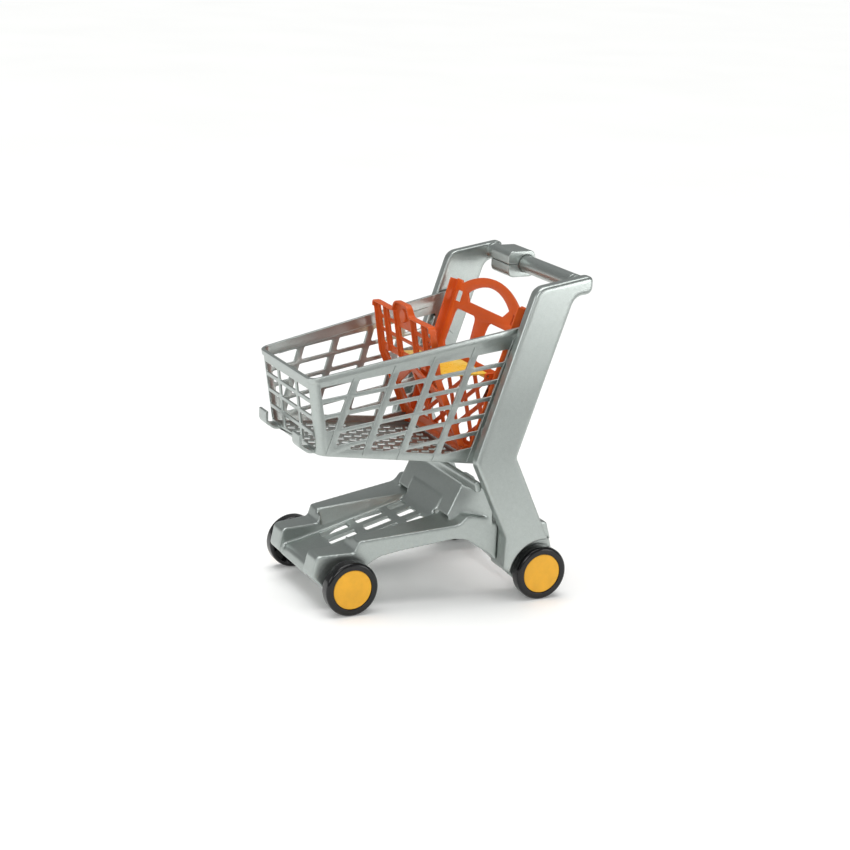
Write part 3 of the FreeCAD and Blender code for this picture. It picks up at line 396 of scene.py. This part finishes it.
FINISHES = {
    "silver_plastic": silver_skin,
    "orange_plastic": orange_skin,
    "yellow_plastic": yellow_seat,
    "cap_yellow": cap_skin,
    "black_plastic": black_wheel,
    "zinc_steel": zinc_skin,
}


def finish_of(slot):
    """The material for one of the record's slots, made once."""
    name = FINISHES[slot].__name__
    return bpy.data.materials.get(name) or FINISHES[slot]()


# ------------------------------------------------------------------ mesh helpers
def shade_smooth(mesh, angle=math.radians(40)):
    """Smooth shading with sharp edges kept past an angle."""
    mesh.polygons.foreach_set("use_smooth", [True] * len(mesh.polygons))
    work = bmesh.new()
    work.from_mesh(mesh)
    for edge in work.edges:
        edge.smooth = len(edge.link_faces) != 2 or edge.calc_face_angle(0) < angle
    work.to_mesh(mesh)
    work.free()


def settle(piece):
    """Apply a piece's modifiers to its mesh."""
    bpy.context.view_layer.update()
    seen = piece.evaluated_get(bpy.context.evaluated_depsgraph_get())
    mesh = bpy.data.meshes.new_from_object(seen)
    piece.modifiers.clear()
    old = piece.data
    piece.data = mesh
    bpy.data.meshes.remove(old)
    return piece


def add_piece(name, mesh, slot, body, *replaced):
    """Link a mesh as a piece: its finish, the body it rides on, and the nodes it stands for."""
    piece = bpy.data.objects.new(name, mesh)
    bpy.context.scene.collection.objects.link(piece)
    piece.data.materials.clear()
    piece.data.materials.append(finish_of(slot))
    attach(piece, body)
    if replaced:
        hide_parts(*replaced)
    return piece


def from_bmesh(work, name):
    """Mesh data from a bmesh, with outward normals."""
    bmesh.ops.recalc_face_normals(work, faces=work.faces)
    mesh = bpy.data.meshes.new(name)
    work.to_mesh(mesh)
    work.free()
    return mesh


def node_mesh(node):
    """A clean copy of a node's mesh: welded, with its coplanar triangles merged."""
    work = bmesh.new()
    work.from_mesh(frame["nodes"][node].data)
    bmesh.ops.remove_doubles(work, verts=work.verts, dist=1e-6)
    bmesh.ops.dissolve_limit(work, angle_limit=math.radians(0.6), verts=work.verts, edges=work.edges,
                             use_dissolve_boundaries=False)
    return from_bmesh(work, node + "_shell")


def bevelled_shell(node, slot, body, width, segments=3):
    """A node's shape with every sharp edge rounded."""
    piece = add_piece(node + "_shell", node_mesh(node), slot, body, node)
    bevel = piece.modifiers.new("edges", "BEVEL")
    bevel.width = width
    bevel.segments = segments
    bevel.limit_method = "ANGLE"
    bevel.angle_limit = math.radians(38)
    bevel.use_clamp_overlap = False
    bevel.miter_outer = "MITER_ARC"
    bevel.harden_normals = False
    settle(piece)
    shade_smooth(piece.data, math.radians(50))
    return piece


def soft_shell(node, slot, body, voxel, passes, crisp=None):
    """A node's shape as one soft moulded skin; points in the crisp box are smoothed only lightly."""
    piece = add_piece(node + "_shell", node_mesh(node), slot, body, node)
    remesh = piece.modifiers.new("skin", "REMESH")
    remesh.mode = "VOXEL"
    remesh.voxel_size = voxel
    remesh.use_smooth_shade = True
    smooth = piece.modifiers.new("settle", "SMOOTH")
    smooth.factor = 0.5
    smooth.iterations = 4
    settle(piece)
    soft = piece.vertex_groups.new(name="soft")
    chosen = [v.index for v in piece.data.vertices if not crisp or not inside(v.co, crisp)]
    soft.add(chosen, 1.0, "REPLACE")
    smooth = piece.modifiers.new("soften", "SMOOTH")
    smooth.factor = 0.5
    smooth.iterations = passes
    smooth.vertex_group = soft.name
    return settle(piece)


def inside(point, box):
    """Whether a point lies in a box given as its two corners."""
    return all(low <= value <= high for low, value, high in zip(box[0], point, box[1]))


def lathe(profile, centre, turns=128, side=1):
    """A bmesh turned about the Y axis: profile is (radius, y outward) pairs, closed."""
    work = bmesh.new()
    rings = []
    for step in range(turns):
        angle = 2 * math.pi * step / turns
        out = Vector((math.cos(angle), 0, math.sin(angle)))
        rings.append([work.verts.new(centre + out * radius + Vector((0, side * y, 0)))
                      for radius, y in profile])
    count = len(profile)
    for step in range(turns):
        here, ahead = rings[step], rings[(step + 1) % turns]
        for i in range(count):
            j = (i + 1) % count
            work.faces.new((here[i], here[j], ahead[j], ahead[i]))
    bmesh.ops.remove_doubles(work, verts=work.verts, dist=1e-7)
    return work


def arc(centre, radius, start, end, steps=6):
    """Points of an arc, angles in degrees."""
    points = []
    for i in range(steps + 1):
        angle = math.radians(start + (end - start) * i / steps)
        points.append((centre[0] + radius * math.cos(angle), centre[1] + radius * math.sin(angle)))
    return points


def block(work, centre, axes, sizes):
    """Add a box to a bmesh: centre, three unit axes and three full sizes."""
    matrix = Matrix.Translation(centre) @ Matrix(axes).transposed().to_4x4()
    matrix = matrix @ Matrix.Diagonal((*sizes, 1))
    return bmesh.ops.create_cube(work, size=1, matrix=matrix)["verts"]


def radial_block(work, centre, side, degrees, reach, depth, sizes):
    """Add a block standing out from an axle: reach is outwards, depth is behind the outer face."""
    angle = math.radians(degrees)
    out = Vector((math.cos(angle), 0, math.sin(angle)))
    along = Vector((0, 1, 0))
    middle = centre + out * reach - along * side * depth
    block(work, middle, (out, along, along.cross(out)), sizes)


def rod_along(work, points, radius, sides=8):
    """Add a closed round rod along points to a bmesh."""
    rings = []
    for i, point in enumerate(points):
        ahead = points[min(i + 1, len(points) - 1)] - points[max(i - 1, 0)]
        across = ahead.cross(Vector((0, 0, 1)))
        if across.length < 1e-9:
            across = Vector((0, 1, 0))
        across.normalize()
        up = across.cross(ahead).normalized()
        rings.append([work.verts.new(point + (across * math.cos(a) + up * math.sin(a)) * radius)
                      for a in (2 * math.pi * k / sides for k in range(sides))])
    for here, ahead in zip(rings[:-1], rings[1:]):
        for k in range(sides):
            j = (k + 1) % sides
            work.faces.new((here[k], here[j], ahead[j], ahead[k]))
    work.faces.new(rings[0][::-1])
    work.faces.new(rings[-1])


def tree_of(node):
    """Ray casting against a node's own mesh."""
    work = bmesh.new()
    work.from_mesh(frame["nodes"][node].data)
    tree = BVHTree.FromBMesh(work)
    work.free()
    return tree


# ------------------------------------------------------------------ pieces
class CART_OT_basket(bpy.types.Operator):
    """Basket shell with rounded edges, fine ribs on its slanted bars and a ledge inside the rim"""
    bl_idname = "cart.basket"
    bl_label = "Basket"

    def execute(self, context):
        sizes = context.scene.cart_sizes
        bevelled_shell("basket", "silver_plastic", "cart", sizes.lattice_edge)
        tree = tree_of("basket")
        work = bmesh.new()
        for side in SIDES.values():
            for number in range(BAR_COUNT):
                points = self.bar_line(sizes, tree, side, number)
                if len(points) > 2:
                    rod_along(work, points, sizes.rib_radius)
            rod_along(work, self.ledge_line(sizes, tree, side), LEDGE_RADIUS)
        mesh = from_bmesh(work, "basket_bar_ribs")
        shade_smooth(mesh)
        add_piece("basket_bar_ribs", mesh, "silver_plastic", "cart")
        return {"FINISHED"}

    def bar_line(self, sizes, tree, side, number):
        """Points up the outer face of one slanted bar, as far as the rim's lip."""
        low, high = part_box("basket")
        points = []
        for step in range(TRACE_STEPS + 1):
            z = low.z + TRACE_RISE + (high.z - low.z) * step / TRACE_STEPS
            x = sizes.first_bar - number * sizes.bar_pitch + sizes.bar_lean * (z - sizes.bar_datum)
            start = Vector((x - 2 * RIB_SETBACK, side * 0.2, z))
            hit = tree.ray_cast(start, Vector((0, -side, 0)))[0]
            below_rim = z < sizes.rim_height + sizes.rim_slope * x - RIB_BELOW_RIM
            if hit and abs(hit.y) > RIB_LEAST_Y and below_rim:
                points.append(Vector((x - RIB_SETBACK, hit.y + side * RIB_PROUD, z)))
        return points

    def ledge_line(self, sizes, tree, side):
        """Points along the inner face of one side wall, a little below the rim."""
        points = []
        for step in range(TRACE_STEPS + 1):
            x = LEDGE_REAR + LEDGE_STEP * step
            z = sizes.rim_height + sizes.rim_slope * x - sizes.ledge_drop
            hit = tree.ray_cast(Vector((x, 0, z)), Vector((0, side, 0)))[0]
            if hit and abs(hit.y) > LEDGE_LEAST_Y:
                points.append(hit)
        return points


class CART_OT_side_frames(bpy.types.Operator):
    """Soft moulded skins of the two side frames"""
    bl_idname = "cart.side_frames"
    bl_label = "Side Frames"

    def execute(self, context):
        sizes = context.scene.cart_sizes
        for side in SIDES:
            soft_shell("side_frame_" + side, "silver_plastic", "cart", sizes.shell_voxel,
                       sizes.frame_softness)
        return {"FINISHED"}


class CART_OT_tray(bpy.types.Operator):
    """Lower tray as one soft skin, with crisp slots"""
    bl_idname = "cart.tray"
    bl_label = "Lower Tray"

    def execute(self, context):
        sizes = context.scene.cart_sizes
        soft_shell("lower_tray", "silver_plastic", "cart", sizes.shell_voxel, sizes.tray_softness,
                   SLOT_ZONE)
        return {"FINISHED"}


class CART_OT_handle(bpy.types.Operator):
    """Handle bar with a fine groove near each end, and the clamped grip block"""
    bl_idname = "cart.handle"
    bl_label = "Handle"

    def execute(self, context):
        for half in ("upper", "lower"):
            soft_shell("handle_sleeve_" + half, "silver_plastic", "cart", FINE_VOXEL, BLOCK_SOFTNESS)
        low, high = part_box("handle_bar")
        centre = (low + high) / 2
        radius = (high.z - low.z) / 2
        inner = radius - TUBE_WALL
        bottom = radius - GROOVE_DEPTH
        end = (high.y - low.y) / 2
        profile = [(inner, -end), (radius - TUBE_CHAMFER, -end), (radius, -end + TUBE_CHAMFER)]
        for y in (-end + GROOVE_INSET, end - GROOVE_INSET):
            profile += [(radius, y - GROOVE_HALF), (bottom, y - GROOVE_HALF / 2),
                        (bottom, y + GROOVE_HALF / 2), (radius, y + GROOVE_HALF)]
        profile += [(radius, end - TUBE_CHAMFER), (radius - TUBE_CHAMFER, end), (inner, end)]
        mesh = from_bmesh(lathe(profile, centre, 96), "handle_tube")
        shade_smooth(mesh, math.radians(30))
        add_piece("handle_tube", mesh, "silver_plastic", "cart", "handle_bar")
        return {"FINISHED"}


class CART_OT_seat(bpy.types.Operator):
    """Seat gate, folding backrest and seat flap"""
    bl_idname = "cart.seat"
    bl_label = "Child Seat"

    def execute(self, context):
        sizes = context.scene.cart_sizes
        bevelled_shell("seat_gate", "orange_plastic", "cart", sizes.lattice_edge)
        soft_shell("seat_back", "orange_plastic", "seat_back", FINE_VOXEL, BACK_SOFTNESS)
        bevelled_shell("seat_plate", "yellow_plastic", "seat_plate", sizes.lattice_edge)
        return {"FINISHED"}


class CART_OT_wheels(bpy.types.Operator):
    """Four turned wheels and their snap-in caps"""
    bl_idname = "cart.wheels"
    bl_label = "Wheels"

    def execute(self, context):
        corner = context.scene.cart_sizes.tread_corner
        for name in WHEELS:
            low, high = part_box("wheel_" + name)
            side = 1 if low.y > 0 else -1
            outer = max(abs(low.y), abs(high.y))
            centre = Vector(((low.x + high.x) / 2, side * outer, (low.z + high.z) / 2))
            self.moulding(name, centre, side, (high.z - low.z) / 2, high.y - low.y, corner)
            self.cap(name, centre, side)
        return {"FINISHED"}

    def moulding(self, name, centre, side, radius, width, corner):
        """Tread, cap seat, web, hub and the spokes behind the web."""
        inner = radius - TREAD_WALL
        profile = [(AXLE_BORE, -WEB_FACE), (POCKET_RADIUS, -WEB_FACE), (POCKET_RADIUS, -SEAT_DEPTH),
                   (SEAT_RADIUS, -SEAT_DEPTH)]
        profile += arc((SEAT_RADIUS + SEAT_ROUND, -SEAT_ROUND), SEAT_ROUND, 180, 90)
        profile += arc((radius - corner, -corner), corner, 90, 0, 10)
        profile += arc((radius - corner, -width + corner), corner, 0, -90, 10)
        profile += arc((inner + HUB_ROUND, -width + HUB_ROUND), HUB_ROUND, -90, -180)
        profile += [(inner, -WEB_BACK), (HUB_RADIUS, -WEB_BACK)]
        profile += arc((HUB_RADIUS - HUB_ROUND, -width + HUB_ROUND), HUB_ROUND, 0, -90)
        profile += [(AXLE_BORE, -width)]
        work = lathe(profile, centre, 144, side)
        for spoke in range(SPOKE_COUNT):
            degrees = 360 / SPOKE_COUNT * (spoke + 0.5)
            radial_block(work, centre, side, degrees, SPOKE_MIDDLE, SPOKE_DEPTH, SPOKE_SIZES)
        mesh = from_bmesh(work, "wheel_%s_moulding" % name)
        shade_smooth(mesh, math.radians(35))
        add_piece("wheel_%s_moulding" % name, mesh, "black_plastic", "wheel_" + name, "wheel_" + name)

    def cap(self, name, centre, side):
        """Round cap with four tabs through the web."""
        disc = [(0.0, -CAP_FACE), (CAP_FLAT, -CAP_FACE)]
        disc += arc((CAP_RADIUS - CAP_ROUND, -CAP_FACE - CAP_ROUND), CAP_ROUND, 90, 0)
        disc += [(CAP_RADIUS, -SEAT_DEPTH), (0.0, -SEAT_DEPTH)]
        work = lathe(disc, centre, 128, side)
        for tab in range(TAB_COUNT):
            degrees = 360 / TAB_COUNT * (tab + 0.5)
            radial_block(work, centre, side, degrees, TAB_MIDDLE, TAB_DEPTH, TAB_SIZES)
        mesh = from_bmesh(work, "cap_%s_disc" % name)
        shade_smooth(mesh, math.radians(35))
        add_piece("cap_%s_disc" % name, mesh, "cap_yellow", "wheel_" + name, "hub_cap_" + name)


class CART_OT_fittings(bpy.types.Operator):
    """Finish of the steel parts that keep the frame's own shape"""
    bl_idname = "cart.fittings"
    bl_label = "Steel Fittings"

    def execute(self, context):
        for entry in frame["record"]["subparts"]:
            node = frame["nodes"][entry["node"]]
            node.data.materials.clear()
            node.data.materials.append(finish_of(entry["material_slot"]))
        return {"FINISHED"}


class CART_OT_stage(bpy.types.Operator):
    """Floor, lights, world and camera"""
    bl_idname = "cart.stage"
    bl_label = "Stage"

    def execute(self, context):
        scene = bpy.context.scene
        work = bmesh.new()
        bmesh.ops.create_circle(work, cap_ends=True, radius=FLOOR_RADIUS, segments=96)
        floor = bpy.data.objects.new("floor", from_bmesh(work, "floor"))
        floor.data.materials.append(studio_floor())
        scene.collection.objects.link(floor)
        self.camera(scene)
        self.sun("broad_key", (0.05, -0.1, 1.0), 2.35, 50)
        self.lamp("near_fill", (1.2, 2.7, 1.7), (0.0, 0.0, 0.25), 1.3, 26)
        self.lamp("nose_side", (2.4, -0.2, 1.0), (0.0, 0.0, 0.3), 0.8, 12)
        self.lamp("handle_side", (-1.6, 2.2, 0.5), (-0.1, 0.0, 0.35), 0.7, 12)
        # a grey card that puts painted shade into the reflections on the silver's near side
        self.reflection_shade_card((-0.35, 1.25), (2.4, 0.95))
        world = bpy.data.worlds.new("studio")
        scene.world = world
        world.use_nodes = True
        back = world.node_tree.nodes["Background"]
        back.inputs["Color"].default_value = (0.80, 0.82, 0.82, 1)
        back.inputs["Strength"].default_value = 0.33
        scene.view_settings.view_transform = "Standard"
        return {"FINISHED"}

    def camera(self, scene):
        """Three-quarter view from the cart's left and ahead, slightly above."""
        data = bpy.data.cameras.new("view")
        data.sensor_width = 36
        data.lens = CAMERA_LENS
        data.shift_x, data.shift_y = CAMERA_SHIFT
        data.clip_end = 300
        camera = bpy.data.objects.new("view", data)
        right = Vector(CAMERA_RIGHT)
        up = Vector(CAMERA_UP)
        back = right.cross(up)
        camera.matrix_world = (Matrix.Translation(CAMERA_PLACE)
                               @ Matrix((right, up, back)).transposed().to_4x4())
        scene.collection.objects.link(camera)
        scene.camera = camera

    def reflection_shade_card(self, centre, sizes):
        """Grey flag lying beside the cart that only mirror-like surfaces can see: painted shade that darkens
        the reflections on the silver's near side.
        """
        work = bmesh.new()
        block(work, Vector((*centre, 3 * MM)), ((1, 0, 0), (0, 1, 0), (0, 0, 1)), (*sizes, 2 * MM))
        card = bpy.data.objects.new("reflection_shade_card", from_bmesh(work, "reflection_shade_card"))
        card.data.materials.append(reflection_shade_grey())
        card.visible_camera = False
        card.visible_diffuse = False
        card.visible_shadow = False
        bpy.context.scene.collection.objects.link(card)

    def sun(self, name, above, strength, spread):
        """Very soft sun shining from a direction; spread is in degrees."""
        data = bpy.data.lights.new(name, "SUN")
        data.energy = strength
        data.angle = math.radians(spread)
        sun = bpy.data.objects.new(name, data)
        sun.rotation_euler = (-Vector(above)).to_track_quat("-Z", "Y").to_euler()
        bpy.context.scene.collection.objects.link(sun)

    def lamp(self, name, place, target, size, power):
        """Soft square lamp aimed at a point."""
        data = bpy.data.lights.new(name, "AREA")
        data.size = size
        data.energy = power
        lamp = bpy.data.objects.new(name, data)
        lamp.location = place
        lamp.rotation_euler = (Vector(target) - Vector(place)).to_track_quat("-Z", "Y").to_euler()
        bpy.context.scene.collection.objects.link(lamp)


class CART_PT_panel(bpy.types.Panel):
    """Lists the cart's settings and the operators that build it"""
    bl_idname = "CART_PT_panel"
    bl_label = "Toy Cart"
    bl_space_type = "VIEW_3D"
    bl_region_type = "UI"
    bl_category = "Cart"

    def draw(self, context):
        layout = self.layout
        for group in (context.scene.cart_sizes, context.scene.cart_colours):
            box = layout.box()
            for name in group.bl_rna.properties.keys():
                if name not in ("rna_type", "name"):
                    box.prop(group, name)
        for operator in BUILDERS:
            layout.operator(operator.bl_idname)


BUILDERS = (CART_OT_fittings, CART_OT_basket, CART_OT_side_frames, CART_OT_tray, CART_OT_handle,
            CART_OT_seat, CART_OT_wheels, CART_OT_stage)
CLASSES = (CartSizes, CartColours, *BUILDERS, CART_PT_panel)


def register():
    for item in CLASSES:
        bpy.utils.register_class(item)
    bpy.types.Scene.cart_sizes = bpy.props.PointerProperty(type=CartSizes)
    bpy.types.Scene.cart_colours = bpy.props.PointerProperty(type=CartColours)


def unregister():
    del bpy.types.Scene.cart_colours
    del bpy.types.Scene.cart_sizes
    for item in reversed(CLASSES):
        bpy.utils.unregister_class(item)


def main():
    """Register the classes, then build everything."""
    register()
    for operator in BUILDERS:
        group, name = operator.bl_idname.split(".")
        getattr(getattr(bpy.ops, group), name)()


if __name__ == "__main__":
    main()
